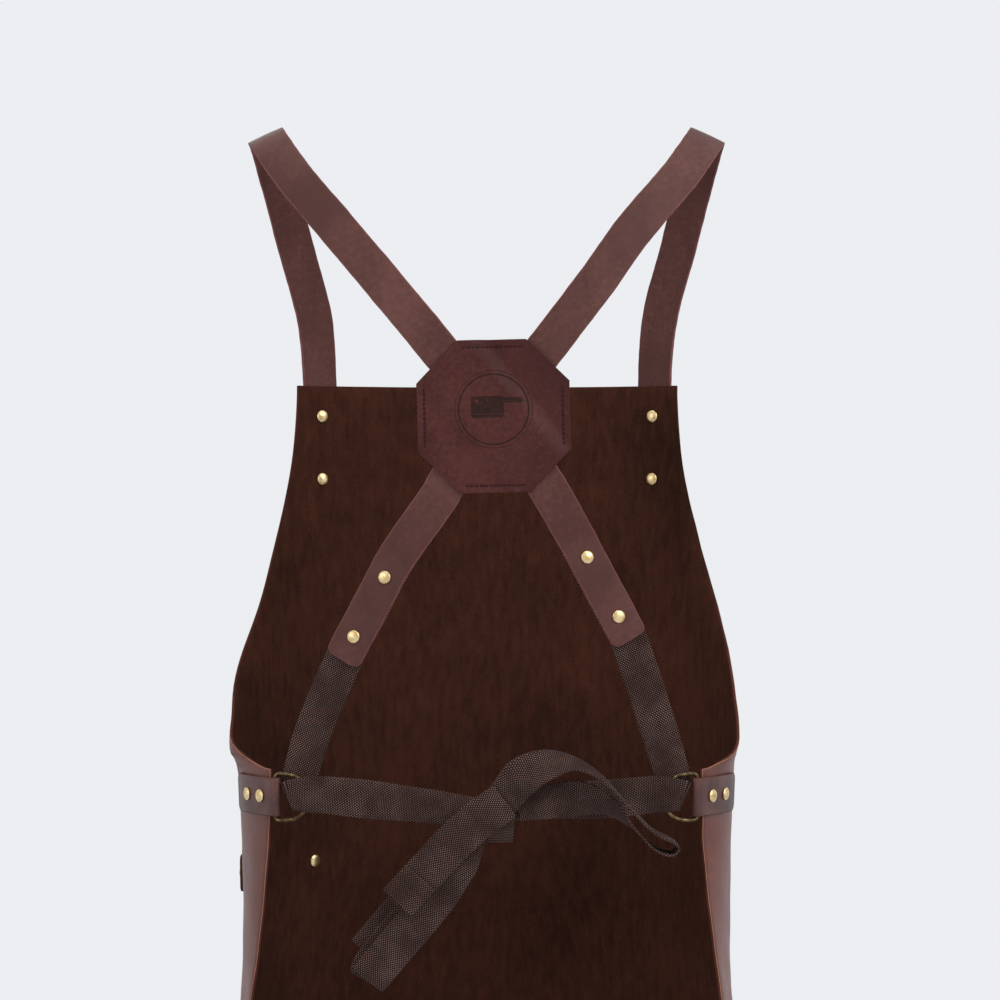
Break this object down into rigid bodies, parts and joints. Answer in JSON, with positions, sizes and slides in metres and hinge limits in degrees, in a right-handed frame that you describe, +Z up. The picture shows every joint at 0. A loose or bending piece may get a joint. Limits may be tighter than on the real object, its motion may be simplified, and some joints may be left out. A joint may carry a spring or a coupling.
{
  "type": "butcher apron",
  "caption": "Leather butcher apron with a wrapped panel, crossed back straps in an octagonal patch, D-rings, webbing ties in a bow and a towel loop.",
  "frame": {"origin": "midway between the two places where the straps rest on the shoulders", "axes": "+Z up, -Y the way the wearer faces, +X the wearer's left"},
  "size_m": [0.4092, 0.2925, 1.0109],
  "materials": {
    "panel_leather": "smooth reddish-brown full-grain leather, dark suede inside",
    "strap_leather": "smooth dark brown leather, paler cut edges",
    "patch_leather": "oxblood leather with a waxed sheen",
    "tab_leather": "smooth dark brown leather",
    "webbing": "woven twill webbing, matt",
    "rivet_brass": "aged brass, polished caps",
    "ring_brass": "antique brass wire",
    "thread": "waxed dark red thread"
  },
  "bodies": {
    "apron": {"apron_panel": "panel_leather", "back_patch_inner": "patch_leather", "back_patch_outer": "patch_leather", "back_rivet_left_1": "rivet_brass", "back_rivet_left_2": "rivet_brass", "back_rivet_right_1": "rivet_brass", "back_rivet_right_2": "rivet_brass", "front_rivet_left_1": "rivet_brass", "front_rivet_left_2": "rivet_brass", "front_rivet_right_1": "rivet_brass", "front_rivet_right_2": "rivet_brass", "loop_rivet_1": "rivet_brass", "loop_rivet_2": "rivet_brass", "patch_stitch_bottom": "thread", "patch_stitch_left": "thread", "patch_stitch_right": "thread", "patch_stitch_top": "thread", "ring_tab_left": "tab_leather", "ring_tab_right": "tab_leather", "shoulder_strap_left": "strap_leather", "shoulder_strap_right": "strap_leather", "tab_rivet_left_1": "rivet_brass", "tab_rivet_left_2": "rivet_brass", "tab_rivet_right_1": "rivet_brass", "tab_rivet_right_2": "rivet_brass", "tie_knot": "webbing", "tie_loop_left": "webbing", "tie_loop_right": "webbing", "tie_run_left": "webbing", "tie_run_right": "webbing", "tie_tail_lower": "webbing", "tie_tail_upper": "webbing", "towel_loop": "tab_leather"},
    "ring_left": {"d_ring_left": "ring_brass"},
    "ring_right": {"d_ring_right": "ring_brass"}
  },
  "joints": [
    {"name": "ring_left_swing", "type": "hinge", "parent": "apron", "child": "ring_left", "pos_m": [0.13774, 0.06438, -0.4385], "axis": [0, 0, 1], "range_deg": [-20, 20], "deforming": ["tie_run_left"]},
    {"name": "ring_right_swing", "type": "hinge", "parent": "apron", "child": "ring_right", "pos_m": [-0.13774, 0.06438, -0.4385], "axis": [0, 0, -1], "range_deg": [-20, 20], "deforming": ["tie_run_right"]}
  ]
}
